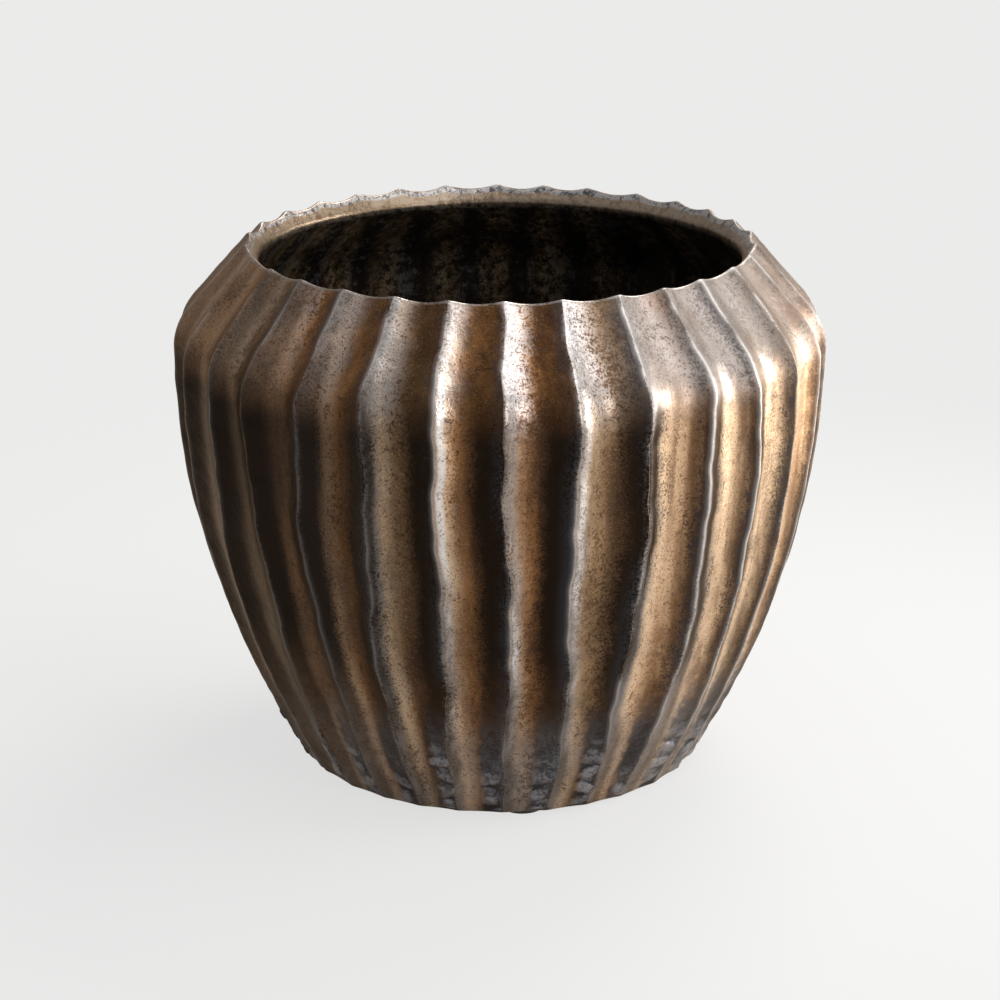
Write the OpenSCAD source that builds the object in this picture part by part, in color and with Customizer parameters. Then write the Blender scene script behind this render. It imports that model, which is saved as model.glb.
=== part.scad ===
// Fluted planter pot (cachepot) with an inner grow pot that lifts out and four felt feet.
// The origin is on the standing surface, at the centre of the pot. +Z is up and -Y is the front.

/* [Pot outline] */
// Height of the pot from its foot to the crests of the rim
pot_h = 157.6; // [150:0.2:166]
// Radius of the foot, over the crests of the flutes
foot_r = 60.6; // [56:0.2:66]
// Height above the foot at which the belly meets the neck
shoulder_h = 133.6; // [126:0.2:138]
// Radius at the shoulder, over the crests, before the corner is softened
shoulder_r = 96.6; // [92:0.2:100]
// How much radius the softened corner of the shoulder takes in
shoulder_soft = 5.2; // [3:0.1:9]
// Radius of the upright arc of the belly
belly_arc_r = 238; // [180:1:400]
// Radius of the rim, over the crests of the flutes
rim_r = 75; // [73:0.2:80]

/* [Flutes] */
// Number of flutes round the pot
flute_count = 30; // [28:1:34]
// Radius of the hollow of a flute
gouge_r = 13.5; // [12.5:0.1:20]
// Uneven depth from one flute to the next, as a share of the hollow's radius
gouge_spread = 0.06; // [0:0.01:0.1]
// How far a crest wanders to either side of its true place, in degrees
flute_wander = 1; // [0:0.1:1.5]
// Share of a flute's depth that is left at the edge of the foot
foot_flute_share = 0.5; // [0.2:0.05:1]
// Height above the foot at which a flute has its full depth
foot_flute_h = 10; // [5:0.5:16]
// Direction of the first crest, seen from above
first_crest_a = -88.8; // [-180:0.2:180]

/* [Mouth and walls] */
// Radius of the smooth edge of the mouth
mouth_r = 70.6; // [66:0.2:71.4]
// Slope of the bevel that runs from the rim down to the mouth, in degrees
bevel_a = 54; // [40:1:62]
// Thickness of the wall at the bottom of a flute
wall_t = 4.6; // [3.6:0.1:6]
// How deep the flutes still show on the inside of the wall
ripple_t = 1.6; // [0:0.1:2.2]
// Thickness of the floor
floor_t = 7; // [5:0.5:10]
// Radius between the floor and the wall inside
floor_corner_r = 9; // [5:0.5:12]
// Small round at the outer edge of the foot
foot_edge_r = 1.2; // [0.6:0.1:2]
// Depth of the recess under the pot
recess_t = 2.4; // [1:0.1:3.4]

/* [Felt feet] */
// Number of felt feet
pad_count = 4; // [3:1:6]
// Radius of a felt foot
pad_r = 6.5; // [4:0.5:8]
// Thickness of a felt foot
pad_t = 1; // [0.8:0.1:4]
// Distance of a felt foot from the edge of the pot's foot
pad_inset = 0.4; // [0:0.1:4]

/* [Grow pot] */
// Height of the inner grow pot
liner_h = 105; // [90:1:116]
// Thickness of its wall
liner_t = 1.1; // [0.8:0.1:2]
// Free room between its rim and the mouth of the planter
liner_gap = 10.6; // [4:0.2:16]
// Free room between its foot and the corner inside the planter
liner_foot_gap = 9; // [2:0.5:14]
// Height of the collar under its rim
collar_h = 14; // [8:1:24]
// How far the collar steps out from the wall
collar_step = 1.3; // [0.8:0.1:2.5]
// Radius of the rolled bead of its rim
roll_r = 1.6; // [1.2:0.1:2.4]
// Height of its floor above its foot ring
liner_lift_h = 3.4; // [2:0.2:6]
// Width of its foot ring
liner_ring_w = 2.6; // [1.6:0.1:4]
// Number of drain holes round its floor
drain_count = 8; // [4:1:12]
// Radius of a drain hole
drain_r = 4; // [2:0.5:4.5]
// Distance from the foot ring to the edge of a drain hole
drain_inset = 2; // [1:0.5:5]
// Width of the drain notches in the foot ring
notch_w = 7; // [4:0.5:10]

/* [Hidden] */
facet_steps = 6;                            // points across one flute
foot_rings = 2;                             // rings of the loft where the flutes run out
belly_rings = 11;                           // and up the belly
corner_rings = 5;                           // and round the softened shoulder
inner_rings = 6;                            // and down the inside of the wall
floor_rings = 3;                            // and round the inside corner of the floor
eps = 0.5;                                  // how far a cutter runs past a face
flute_pitch = 360 / flute_count;
neck_slope = (shoulder_r - rim_r) / (pot_h - shoulder_h);
bevel_slope = tan(bevel_a);
mouth_h = pot_h - (rim_r - mouth_r) * bevel_slope;
// The belly's arc runs through the edge of the foot and the corner of the shoulder.
chord = [shoulder_r - foot_r, shoulder_h];
arc_rise = sqrt(pow(belly_arc_r, 2) - pow(norm(chord) / 2, 2));
arc_centre = [foot_r, 0] + chord / 2 + [-chord.y, chord.x] / norm(chord) * arc_rise;
// The waves of a wandering crest: share, turn per flute and turn per mm.
slow_wave = [0.6, 97, 1.7];
quick_wave = [0.4, 223, -4.1];
fine_wave = [0.24, 311, 9.7];
depth_turn = 151;                           // turn per flute of the uneven depth
corner_top_h = shoulder_soft;               // the softened corner reaches this far up and down
ripple_fade_h = 14;                         // the ripple grows over this height below the mouth
neck_ring_h = 5;                            // last level ring of the wall, below the rim
pad_ring_r = foot_r - foot_edge_r - pad_inset - pad_r;
recess_r = pad_ring_r - pad_r - 1;
floor_z = pad_t + floor_t;
flat_floor_r = inside_r(floor_t + floor_corner_r) - floor_corner_r;
liner_rim_r = mouth_r - liner_gap;
liner_foot_r = flat_floor_r - liner_foot_gap;
liner_edge = 0.8;                           // small chamfer of the foot ring
drain_ring_r = liner_foot_r - liner_ring_w - drain_inset - drain_r;
roll_offset = 0.3;                          // the bead's centre lies this far outside the collar

// The smaller of two radii, with the corner between them softened.
function soft_min(a, b, soft) =
    let (near = max(soft - abs(a - b), 0)) min(a, b) - near * near / (4 * soft);

// Radius over the crests of the flutes at height z above the foot.
function belly_r(z) = arc_centre.x + sqrt(pow(belly_arc_r, 2) - pow(z - arc_centre.y, 2));
function neck_r(z) = rim_r + (pot_h - z) * neck_slope;
function crest_r(z) = soft_min(belly_r(z), neck_r(z), shoulder_soft);

// Direction of crest k at height z. Each crest wanders in its own way.
function wave(w, k, z) = w[0] * sin(w[1] * k + w[2] * z);
function crest_a(k, z) =
    let (own = k % flute_count)
    first_crest_a + flute_pitch * k
        + flute_wander * (wave(slow_wave, own, z) + wave(quick_wave, own, z) + wave(fine_wave, own, z));

// Depth of flute k below its crests, at share u of its width, where the crests have radius r.
function hollow(k, r, u) =
    let (
        g = gouge_r * (1 + gouge_spread * sin(depth_turn * k)),
        width = 2 * r * sin(flute_pitch / 2)
    )
    sqrt(pow(g, 2) - pow(width * (u - 0.5), 2)) - sqrt(pow(g, 2) - pow(width / 2, 2));

// The share of its depth that a flute has at height z: it runs out towards the foot.
function run_out(z) = foot_flute_share + (1 - foot_flute_share) * min(1, z / foot_flute_h);

// Radius inside the wall, at the bottom of a flute, and the ripple that a crest adds to it.
function inside_r(z) =
    soft_min(belly_r(z) - hollow(0, belly_r(z), 0.5) - wall_t,
        mouth_r + (mouth_h - z) * neck_slope, shoulder_soft);
function ripple(z, u) =
    ripple_t * min(1, (mouth_h - z) / ripple_fade_h) * min(1, max(0, (z - floor_t) / floor_corner_r - 1))
        * (1 + cos(360 * u)) / 2;

// One ring of the loft. Each point is [direction, radius, height], worked out by a kind of ring:
// 0 is the outside at height z, 1 the scalloped edge of the rim, 2 the inside at height z.
function ring_point(kind, k, u, z, inset) =
    let (a = crest_a(k, z) * (1 - u) + crest_a(k + 1, z) * u)
    kind == 0 ? [a, crest_r(z) - hollow(k, crest_r(z), u) * run_out(z) - inset, z]
    : kind == 1 ?
        let (drop = hollow(k, rim_r, u) / (1 + bevel_slope * neck_slope))
        [a, rim_r - drop, pot_h - drop * bevel_slope]
    : [a, inside_r(z) + ripple(z, u) - inset, z];
function to_xyz(p) = [p[1] * cos(p[0]), p[1] * sin(p[0]), p[2]];
function ring(kind, z, inset = 0, drop = 0) = [
    for (k = [0 : flute_count - 1], s = [0 : facet_steps - 1])
        to_xyz(ring_point(kind, k, s / facet_steps, z, inset)) - [0, 0, drop]
];

// A closed skin over a list of rings, shut by a point on the axis at each end.
module loft(rings, first, last) {
    n = len(rings[0]);
    m = len(rings);
    points = concat([first], [for (r = rings) each r], [last]);
    faces = concat(
        [for (i = [0 : n - 1]) [0, 1 + i, 1 + (i + 1) % n]],
        [for (j = [0 : m - 2], i = [0 : n - 1])
            let (a = 1 + j * n + i, b = 1 + j * n + (i + 1) % n) each [[a, a + n, b + n], [a, b + n, b]]],
        [for (i = [0 : n - 1]) [m * n + 1, (m - 1) * n + 1 + (i + 1) % n, (m - 1) * n + 1 + i]]
    );
    polyhedron(points, faces, convexity = 6);
}

// The fired pot in one piece: fluted outside, scalloped and bevelled rim, rippled inside, flat floor.
module pot_body() {
    belly_top = shoulder_h - corner_top_h;
    corner_step = 2 * corner_top_h / corner_rings;
    inner_top = mouth_h - ripple_fade_h;
    inner_foot = floor_t + floor_corner_r;
    outside = concat(
        [ring(0, 0, inset = foot_edge_r), ring(0, foot_edge_r)],
        [for (i = [1 : foot_rings]) ring(0, foot_flute_h * i / foot_rings)],
        [for (i = [1 : belly_rings]) ring(0, foot_flute_h + (belly_top - foot_flute_h) * i / belly_rings)],
        [for (i = [1 : corner_rings]) ring(0, belly_top + corner_step * i)],
        [ring(0, pot_h - neck_ring_h), ring(1, pot_h)]
    );
    inside = concat(
        [ring(2, mouth_h)],
        [for (i = [0 : inner_rings]) ring(2, inner_top + (inner_foot - inner_top) * i / inner_rings)],
        [for (i = [1 : floor_rings])
            let (a = 90 * i / floor_rings)
            ring(2, inner_foot, inset = floor_corner_r * (1 - cos(a)), drop = floor_corner_r * sin(a))]
    );
    color([0.36, 0.28, 0.2])
        translate([0, 0, pad_t])
            difference() {
                loft(concat(outside, inside), [0, 0, 0], [0, 0, floor_t]);
                translate([0, 0, -eps]) cylinder(h = recess_t + eps, r = recess_r, $fn = 96);
            }
}

// Round felt feet, stuck under the edge of the pot's foot.
module felt_pads() {
    color([0.06, 0.06, 0.06])
        for (i = [0 : pad_count - 1])
            rotate([0, 0, first_crest_a - 7 * flute_pitch + i * 360 / pad_count])
                translate([pad_ring_r, 0, 0])
                    cylinder(h = pad_t, r = pad_r, $fn = 48);
}

// The plastic grow pot: drafted wall, stepped collar, rolled rim, raised floor with drain holes.
module grow_pot() {
    collar_r = liner_rim_r - roll_r - roll_offset;
    top_r = collar_r - collar_step;
    collar_z = liner_h - collar_h;
    liner_floor_z = liner_lift_h + liner_t;
    color([0.1, 0.1, 0.1])
        translate([0, 0, floor_z])
            difference() {
                rotate_extrude($fn = 96) {
                    polygon([
                        [0, liner_lift_h], [liner_foot_r - liner_ring_w, liner_lift_h],
                        [liner_foot_r - liner_ring_w, 0], [liner_foot_r - liner_edge, 0],
                        [liner_foot_r, liner_edge], [top_r, collar_z], [collar_r, collar_z + collar_step],
                        [collar_r, liner_h - roll_r], [collar_r - liner_t, liner_h - roll_r],
                        [collar_r - liner_t, collar_z + collar_step], [top_r - liner_t, collar_z],
                        [liner_foot_r - liner_t, liner_floor_z], [0, liner_floor_z]
                    ]);
                    translate([liner_rim_r - roll_r, liner_h - roll_r]) circle(r = roll_r, $fn = 32);
                }
                for (i = [0 : drain_count - 1])
                    rotate([0, 0, i * 360 / drain_count])
                        translate([drain_ring_r, 0, liner_lift_h - eps])
                            cylinder(h = liner_t + 2 * eps, r = drain_r, $fn = 32);
                for (a = [45, 135])
                    rotate([0, 0, a])
                        translate([-liner_foot_r - eps, -notch_w / 2, -eps])
                            cube([2 * (liner_foot_r + eps), notch_w, liner_lift_h / 2 + eps]);
            }
}

pot_body();
felt_pads();
grow_pot();
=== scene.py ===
"""Looks of the fluted planter pot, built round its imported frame.

The pot's skin is a lofted mesh of its own: thirty flutes between soft crests that wander, a scalloped
and bevelled rim, an inside that still shows the flutes, a floor, and a foot that is bare clay below.
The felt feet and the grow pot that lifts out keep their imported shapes, with softened edges and
finishes of their own. Lengths are in metres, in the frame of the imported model.
"""

import logging
import math
from dataclasses import dataclass
from enum import Enum
from functools import cached_property
from typing import Any, Union

import bpy
import numpy as np
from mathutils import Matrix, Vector, noise


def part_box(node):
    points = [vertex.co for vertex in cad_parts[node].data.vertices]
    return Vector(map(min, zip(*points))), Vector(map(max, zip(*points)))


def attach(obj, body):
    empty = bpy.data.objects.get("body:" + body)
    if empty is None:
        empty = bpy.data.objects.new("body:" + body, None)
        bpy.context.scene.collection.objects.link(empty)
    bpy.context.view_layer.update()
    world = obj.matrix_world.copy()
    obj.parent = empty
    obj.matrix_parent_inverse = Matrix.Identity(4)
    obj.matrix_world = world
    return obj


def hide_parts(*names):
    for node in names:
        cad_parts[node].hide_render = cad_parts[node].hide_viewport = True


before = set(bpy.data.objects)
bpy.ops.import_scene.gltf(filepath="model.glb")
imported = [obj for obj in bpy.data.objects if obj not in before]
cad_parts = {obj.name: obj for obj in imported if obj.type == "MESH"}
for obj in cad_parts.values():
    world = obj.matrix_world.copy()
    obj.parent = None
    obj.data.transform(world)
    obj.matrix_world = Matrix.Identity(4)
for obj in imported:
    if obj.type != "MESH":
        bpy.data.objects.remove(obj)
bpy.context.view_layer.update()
MM = 0.001
LOG = logging.getLogger("planter")

Colour = tuple[float, float, float]
Span = tuple[float, float]
Ring = tuple[Any, Any]  # a radius and a height, each a number or one for each point round
Operand = Union["Number", float, int]


class Body(Enum):
    """The bodies of the frame that pieces ride on."""

    PLANTER = "planter"
    INNER_POT = "inner_pot"


class Mark(Enum):
    """Point attributes that tell a finish where it lies on the pot's skin."""

    CREST = "crest"
    KNUCKLE = "knuckle"
    ACROSS = "across"
    BEVEL = "bevel"
    TONE = "tone"
    INSIDE = "inside"
    BARE = "bare"
    FOOTWARD = "footward"


# ---------------------------------------------------------------- shader helpers


class Number:
    """A number that varies over a surface: a shader socket with arithmetic."""

    def __init__(self, recipe: "Recipe", socket: bpy.types.NodeSocket) -> None:
        """Wraps a socket of a recipe's node tree.

        Args:
            recipe: the recipe whose tree holds the socket.
            socket: the output socket that gives the number.
        """
        self.recipe = recipe
        self.socket = socket

    def _join(self, operation: str, first: Operand, second: Operand) -> "Number":
        """One Math node on two operands.

        Args:
            operation: the Math node's operation.
            first: the left operand.
            second: the right operand.

        Returns:
            The node's result.
        """
        made = self.recipe.add("ShaderNodeMath", {"operation": operation}, {0: first, 1: second})
        return Number(self.recipe, made.outputs[0])

    def __add__(self, other: Operand) -> "Number":
        """Sum."""
        return self._join("ADD", self, other)

    def __radd__(self, other: Operand) -> "Number":
        """Sum with a plain number on the left."""
        return self._join("ADD", other, self)

    def __sub__(self, other: Operand) -> "Number":
        """Difference."""
        return self._join("SUBTRACT", self, other)

    def __rsub__(self, other: Operand) -> "Number":
        """Difference with a plain number on the left."""
        return self._join("SUBTRACT", other, self)

    def __mul__(self, other: Operand) -> "Number":
        """Product."""
        return self._join("MULTIPLY", self, other)

    def __rmul__(self, other: Operand) -> "Number":
        """Product with a plain number on the left."""
        return self._join("MULTIPLY", other, self)

    def at_least(self, other: Operand) -> "Number":
        """The larger of the two."""
        return self._join("MAXIMUM", self, other)

    def at_most(self, other: Operand) -> "Number":
        """The smaller of the two."""
        return self._join("MINIMUM", self, other)

    def ramp(self, low: float, high: float, to_low: float = 0.0, to_high: float = 1.0) -> "Number":
        """A smooth step from one value to another.

        Args:
            low: where the step begins.
            high: where it ends.
            to_low: the result at and before low.
            to_high: the result at and after high.

        Returns:
            The stepped number.
        """
        made = self.recipe.add(
            "ShaderNodeMapRange",
            {"interpolation_type": "SMOOTHSTEP"},
            {"Value": self, "From Min": low, "From Max": high, "To Min": to_low, "To Max": to_high},
        )
        return Number(self.recipe, made.outputs["Result"])


Link = Union[Number, bpy.types.NodeSocket, float, int, tuple]


@dataclass(frozen=True)
class Grain:
    """A noise: cells per metre, finer layers and their strength, and scales along X, Y and Z."""

    scale: float
    detail: float
    rough: float
    stretch: tuple[float, float, float] | None = None


class Recipe:
    """A node tree, with one way to add a node and short names for what finishes share."""

    def __init__(self, tree: bpy.types.NodeTree) -> None:
        """Empties a tree and starts on it.

        Args:
            tree: the tree of a material or a world.
        """
        self.tree = tree
        self.tree.nodes.clear()

    @cached_property
    def place(self) -> bpy.types.NodeSocket:
        """The object's own coordinates."""
        return self.add("ShaderNodeTexCoord").outputs["Object"]

    def add(self, kind: str, settings: dict[str, Any] | None = None,
            sockets: dict[Any, Link] | None = None) -> bpy.types.Node:
        """Adds a node, sets its settings first and then its sockets.

        Args:
            kind: the node's type.
            settings: its attributes, such as a Math node's operation.
            sockets: a value or a link for each input, by name or number.

        Returns:
            The new node.
        """
        node = self.tree.nodes.new(kind)
        for key, value in (settings or {}).items():
            setattr(node, key, value)
        for key, value in (sockets or {}).items():
            socket = node.inputs[key]
            if isinstance(value, Number):
                self.tree.links.new(value.socket, socket)
            elif isinstance(value, bpy.types.NodeSocket):
                self.tree.links.new(value, socket)
            elif isinstance(value, tuple) and len(value) == 3 and socket.type == "RGBA":
                socket.default_value = (*value, 1.0)
            else:
                socket.default_value = value
        return node

    def mark(self, which: Mark) -> Number:
        """One of the skin's marks."""
        node = self.add("ShaderNodeAttribute", {"attribute_name": which.value})
        return Number(self, node.outputs["Fac"])

    def along(self, axis: str) -> Number:
        """The object's own coordinate along X, Y or Z, in metres."""
        parts = self.add("ShaderNodeSeparateXYZ", {}, {0: self.place})
        return Number(self, parts.outputs[axis])

    def clouds(self, grain: Grain) -> Number:
        """Noise from 0 to 1.

        Args:
            grain: the size and roughness of the noise.

        Returns:
            The noise as a number.
        """
        vector = self.place
        if grain.stretch is not None:
            mapped = self.add("ShaderNodeMapping", {}, {"Vector": vector, "Scale": grain.stretch})
            vector = mapped.outputs["Vector"]
        made = self.add(
            "ShaderNodeTexNoise",
            {"noise_dimensions": "3D"},
            {"Vector": vector, "Scale": grain.scale, "Detail": grain.detail, "Roughness": grain.rough},
        )
        return Number(self, made.outputs["Fac"])

    def blend(self, factor: Link, first: Link, second: Link) -> bpy.types.NodeSocket:
        """A colour between two others.

        Args:
            factor: 0 for the first colour, 1 for the second.
            first: the first colour.
            second: the second colour.

        Returns:
            The mixed colour's socket.
        """
        made = self.add("ShaderNodeMix", {"data_type": "RGBA"}, {0: factor, 6: first, 7: second})
        return made.outputs[2]

    def bump(self, height: Number, depth: float,
             under: bpy.types.NodeSocket | None = None) -> bpy.types.NodeSocket:
        """A bump from a height field.

        Args:
            height: the height, 0 to 1.
            depth: what a height of 1 stands for, in metres.
            under: the normal of a bump below this one.

        Returns:
            The bumped normal's socket.
        """
        sockets: dict[Any, Link] = {"Height": height, "Distance": depth, "Strength": 1.0}
        if under is not None:
            sockets["Normal"] = under
        return self.add("ShaderNodeBump", {}, sockets).outputs["Normal"]

    def finish(self, sockets: dict[Any, Link]) -> None:
        """Adds the Principled shader and the output.

        Args:
            sockets: the shader's inputs.
        """
        shader = self.add("ShaderNodeBsdfPrincipled", {}, sockets)
        self.add("ShaderNodeOutputMaterial", {}, {"Surface": shader.outputs[0]})


def new_material(name: str) -> bpy.types.Material:
    """An empty material with a node tree."""
    material = bpy.data.materials.new(name)
    material.use_nodes = True
    return material


# ---------------------------------------------------------------- finishes


@dataclass(frozen=True)
class GlazeZones:
    """Where the glaze and its painted light and shade change: heights along Z and places along X
    (right), in metres.
    """

    neck_z: Span = (0.122, 0.139)
    upper_belly_z: Span = (0.070, 0.112)
    # Towards the pot's left the colours are painted in shade, and towards its right in light.
    left_x: Span = (-0.010, -0.065)
    left_outline_x: Span = (-0.055, -0.088)
    right_x: Span = (0.012, 0.062)
    foot_reach: Span = (0.35, 0.95)


@dataclass(frozen=True)
class GlazeGrains:
    """The noises of the glaze, from the widest to the finest."""

    drift: Grain = Grain(9, 1, 0.4)
    patches: Grain = Grain(30, 3, 0.55, (1, 1, 0.4))
    runs: Grain = Grain(90, 3, 0.6, (1, 1, 0.10))
    swell: Grain = Grain(130, 2, 0.5)
    streaks: Grain = Grain(230, 2, 0.6, (1, 1, 0.06))
    mottle: Grain = Grain(420, 3, 0.7)
    fleck: Grain = Grain(1500, 2, 0.6)
    dust: Grain = Grain(1900, 2, 0.7)


class GlazeRecipe(Recipe):
    """The glaze's recipe, with the marks, zones, noises and painted lit sides that its layers share."""

    def __init__(self, tree: bpy.types.NodeTree, zones: GlazeZones, grains: GlazeGrains) -> None:
        """Starts the recipe with what its layers share.

        Args:
            tree: the material's tree.
            zones: where the glaze changes.
            grains: its noises.
        """
        super().__init__(tree)
        self.crest, self.across = self.mark(Mark.CREST), self.mark(Mark.ACROSS)
        self.knuckle, self.footward = self.mark(Mark.KNUCKLE), self.mark(Mark.FOOTWARD)
        self.bevel, self.inside = self.mark(Mark.BEVEL), self.mark(Mark.INSIDE)
        self.tone, self.bare = self.mark(Mark.TONE), self.mark(Mark.BARE)
        x, z = self.along("X"), self.along("Z")
        self.neck = z.ramp(*zones.neck_z)
        self.upper_belly = z.ramp(*zones.upper_belly_z, 0.66, 0.86)
        self.left, self.right = x.ramp(*zones.left_x), x.ramp(*zones.right_x)
        self.left_outline = x.ramp(*zones.left_outline_x)
        self.foot = self.footward.ramp(*zones.foot_reach)
        self.drift, self.patches = self.clouds(grains.drift), self.clouds(grains.patches)
        self.runs, self.streaks = self.clouds(grains.runs), self.clouds(grains.streaks)
        self.mottle, self.fleck = self.clouds(grains.mottle), self.clouds(grains.fleck)
        self.speck = self.fleck * 0.7 + self.mottle * 0.3 - 0.5
        self.grit = self.mottle + self.speck

        # Painted light: a flute is painted lit beside its own crest, as if a lamp stood on the pot's
        # right. On the pot's left and right the lit part moves on from it.
        side = self.across - self.left * 0.37 - self.right * 0.36 - self.footward * 0.18
        self.side = side + (self.runs - 0.5) * 0.30 + (self.patches - 0.5) * 0.25
        front = (self.side + self.speck * 0.5).ramp(0.68, 0.20)
        self.lit = front * (self.side + self.speck * 0.3).ramp(-0.11, 0.11)
        # Painted highlight: the brightest part of the lit side, next to the crest.
        self.core = (self.side + self.speck * 0.7).ramp(0.36, 0.06)
        # Painted shade: the painted light is weaker on the pot's left and towards the foot.
        self.bright = (1 - self.left * 0.8) * (1 - self.foot * 0.3)


@dataclass(frozen=True)
class BronzeGlaze:
    """Metallic bronze glaze on stoneware, broken thin on the crests, with bare clay underneath.

    Light and shade are painted into it: each flute has a painted lit side of silver and gold and a dark
    lee of painted shade, as if a lamp stood on the pot's right.
    """

    # The pale gold serves painted highlights on the lit sides as well as the pale dust.
    pale_gold: Colour = (0.56, 0.40, 0.255)
    gold: Colour = (0.295, 0.128, 0.038)
    umber: Colour = (0.070, 0.031, 0.012)
    rust: Colour = (0.046, 0.018, 0.008)
    # The lee colour is painted shade, on the side of each flute away from the light.
    lee: Colour = (0.013, 0.0075, 0.0045)
    gunmetal: Colour = (0.040, 0.042, 0.049)
    # The silver also serves painted highlights beside the crests and a painted reflection on the neck at
    # the pot's right.
    silver: Colour = (0.27, 0.245, 0.225)
    # The bright silver serves painted highlights and glints beside the crests and on the neck, and the
    # crest line.
    bright_silver: Colour = (0.55, 0.52, 0.50)
    # The pewter also covers the beads, strongest on their tops as a painted highlight.
    pewter: Colour = (0.25, 0.24, 0.245)
    tan: Colour = (0.19, 0.142, 0.098)
    olive: Colour = (0.22, 0.145, 0.065)
    # The darkest colour is the inside's, and the painted shade round the beads near the foot.
    near_black: Colour = (0.016, 0.012, 0.010)
    clay: Colour = (0.40, 0.32, 0.24)
    gloss: tuple[float, float, float, float] = (0.85, 0.74, 0.64, 1.0)
    metal_share: float = 0.96
    coat_rough: float = 0.15
    most_rough: float = 0.95
    swell_depth: float = 0.5 * MM
    mottle_depth: float = 0.16 * MM
    fleck_depth: float = 0.055 * MM
    zones: GlazeZones = GlazeZones()
    grains: GlazeGrains = GlazeGrains()

    def material(self) -> bpy.types.Material:
        """Makes the glaze.

        Returns:
            The material.
        """
        material = new_material("bronze_glaze")
        g = GlazeRecipe(material.node_tree, self.zones, self.grains)
        # The gilt, the silvering, the lees and the crest line carry painted light and shade as well as
        # the glaze's colours.
        colour = self.gilt(g)
        for layer in (self.silvering, self.speckle, self.lees):
            colour = layer(g, colour)
        colour = g.blend(self.crest_line(g), colour, self.bright_silver)
        colour = g.blend(g.bevel.ramp(0.02, 0.2), colour, self.rim(g))
        colour = g.blend(g.inside, colour, self.lining(g))
        underneath = g.blend(g.mottle.ramp(0.3, 0.8) * 0.5, self.clay, self.umber)
        g.finish({
            "Base Color": g.blend(g.bare, colour, underneath),
            "Metallic": (1 - g.bare) * (self.metal_share - g.inside * 0.5),
            "Roughness": self.roughness(g),
            "Specular Tint": self.gloss,
            "Coat Weight": self.coat(g),
            "Coat Roughness": self.coat_rough,
            "Normal": self.relief(g),
        })
        return material

    def gilt(self, g: GlazeRecipe) -> bpy.types.NodeSocket:
        """The ground of umber, gold and olive, and painted highlights of pale gold on the lit side of
        each flute and over the pot's right.

        Args:
            g: the glaze's recipe.

        Returns:
            The colour.
        """
        warm = g.runs * 0.5 + g.patches * 0.5 + g.drift * 0.35 + g.tone * 0.25
        warm = warm + g.speck * 1.3 + (g.streaks - 0.5) * 0.7
        colour = g.blend(warm.ramp(0.50, 1.15), self.umber, self.gold)
        greenish = g.tone.ramp(0.35, 0.0) * g.patches.ramp(0.35, 0.6)
        colour = g.blend(greenish * 0.4, colour, self.olive)
        # Painted highlight: pale gold on the lit side of each flute, weaker beside the crest and on the
        # neck at the pot's right.
        gleam = g.core * g.bright * (1 - g.across.ramp(0.16, 0.0) * 0.6)
        gleam = gleam * (1 - g.neck * g.right * 0.8)
        gleam = gleam * (g.runs + g.speck * 1.2).ramp(0.33, 0.58, 0.15, 1.0)
        # Painted light: pale gold over the lit parts on the pot's right, below the neck.
        glow = g.right * (1 - g.neck) * g.core.at_least(g.lit * 0.85)
        glow = glow * (g.streaks + g.speck).ramp(0.36, 0.60, 0.2, 1.0)
        return g.blend(gleam.at_least(glow), colour, self.pale_gold)

    def silvering(self, g: GlazeRecipe, colour: bpy.types.NodeSocket) -> bpy.types.NodeSocket:
        """Painted highlights of silver beside each crest and on the neck, a painted reflection on the
        neck at the pot's right, and silver near the foot.

        Args:
            g: the glaze's recipe.
            colour: the colour below.

        Returns:
            The new colour.
        """
        # Painted highlight: silver on the lit side beside each crest, paler on the pot's right.
        crest_highlight = g.across.ramp(0.24, 0.10) * (g.patches + g.speck).ramp(0.35, 0.6, 0.2, 0.8)
        colour = g.blend(crest_highlight * g.bright, colour, self.silver)
        colour = g.blend(crest_highlight * g.right * (1 - g.neck) * 0.9, colour, self.bright_silver)
        # Painted glint: a broken line of pale silver just beside each crest on its lit side, none on the
        # pot's left.
        thin = g.across.ramp(0.03, 0.07) * g.across.ramp(0.18, 0.11)
        thin = thin * (1 - g.left) * (1 - g.footward * 0.4)
        thin = thin * (g.runs + g.streaks * 0.5 + g.speck * 0.7).ramp(0.62, 0.86)
        colour = g.blend(thin * 0.85, colour, self.bright_silver)
        # Painted reflection of the light on the neck, on the pot's right.
        grey = g.neck * g.right * (g.patches + g.runs + g.speck * 0.5).ramp(0.75, 1.15, 0.35, 0.95)
        colour = g.blend(grey, colour, self.silver)
        colour = g.blend(g.foot * (g.patches + g.speck).ramp(0.3, 0.65) * 0.7, colour, self.silver)
        # Painted sheen: pale silver on the lit side of the neck, mostly at the front of the pot.
        sheen = (g.side + g.speck - g.right * 0.2).ramp(0.50, 0.12) * g.neck
        sheen = sheen * (g.patches + g.speck * 1.4).ramp(0.36, 0.6, 0.15, 0.9)
        return g.blend(sheen * (1 - g.left * 0.85 - g.right * 0.8), colour, self.bright_silver)

    def speckle(self, g: GlazeRecipe, colour: bpy.types.NodeSocket) -> bpy.types.NodeSocket:
        """Fine pale dust and rusty pinholes.

        Args:
            g: the glaze's recipe.
            colour: the colour below.

        Returns:
            The new colour.
        """
        colour = g.blend(g.clouds(self.grains.dust).ramp(0.55, 0.62) * 0.15, colour, self.pale_gold)
        spots = (g.fleck * 0.45 + g.mottle * 0.35 + g.patches * 0.35).ramp(0.55, 0.70)
        return g.blend(spots * (0.75 - g.right * 0.25), colour, self.rust)

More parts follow.
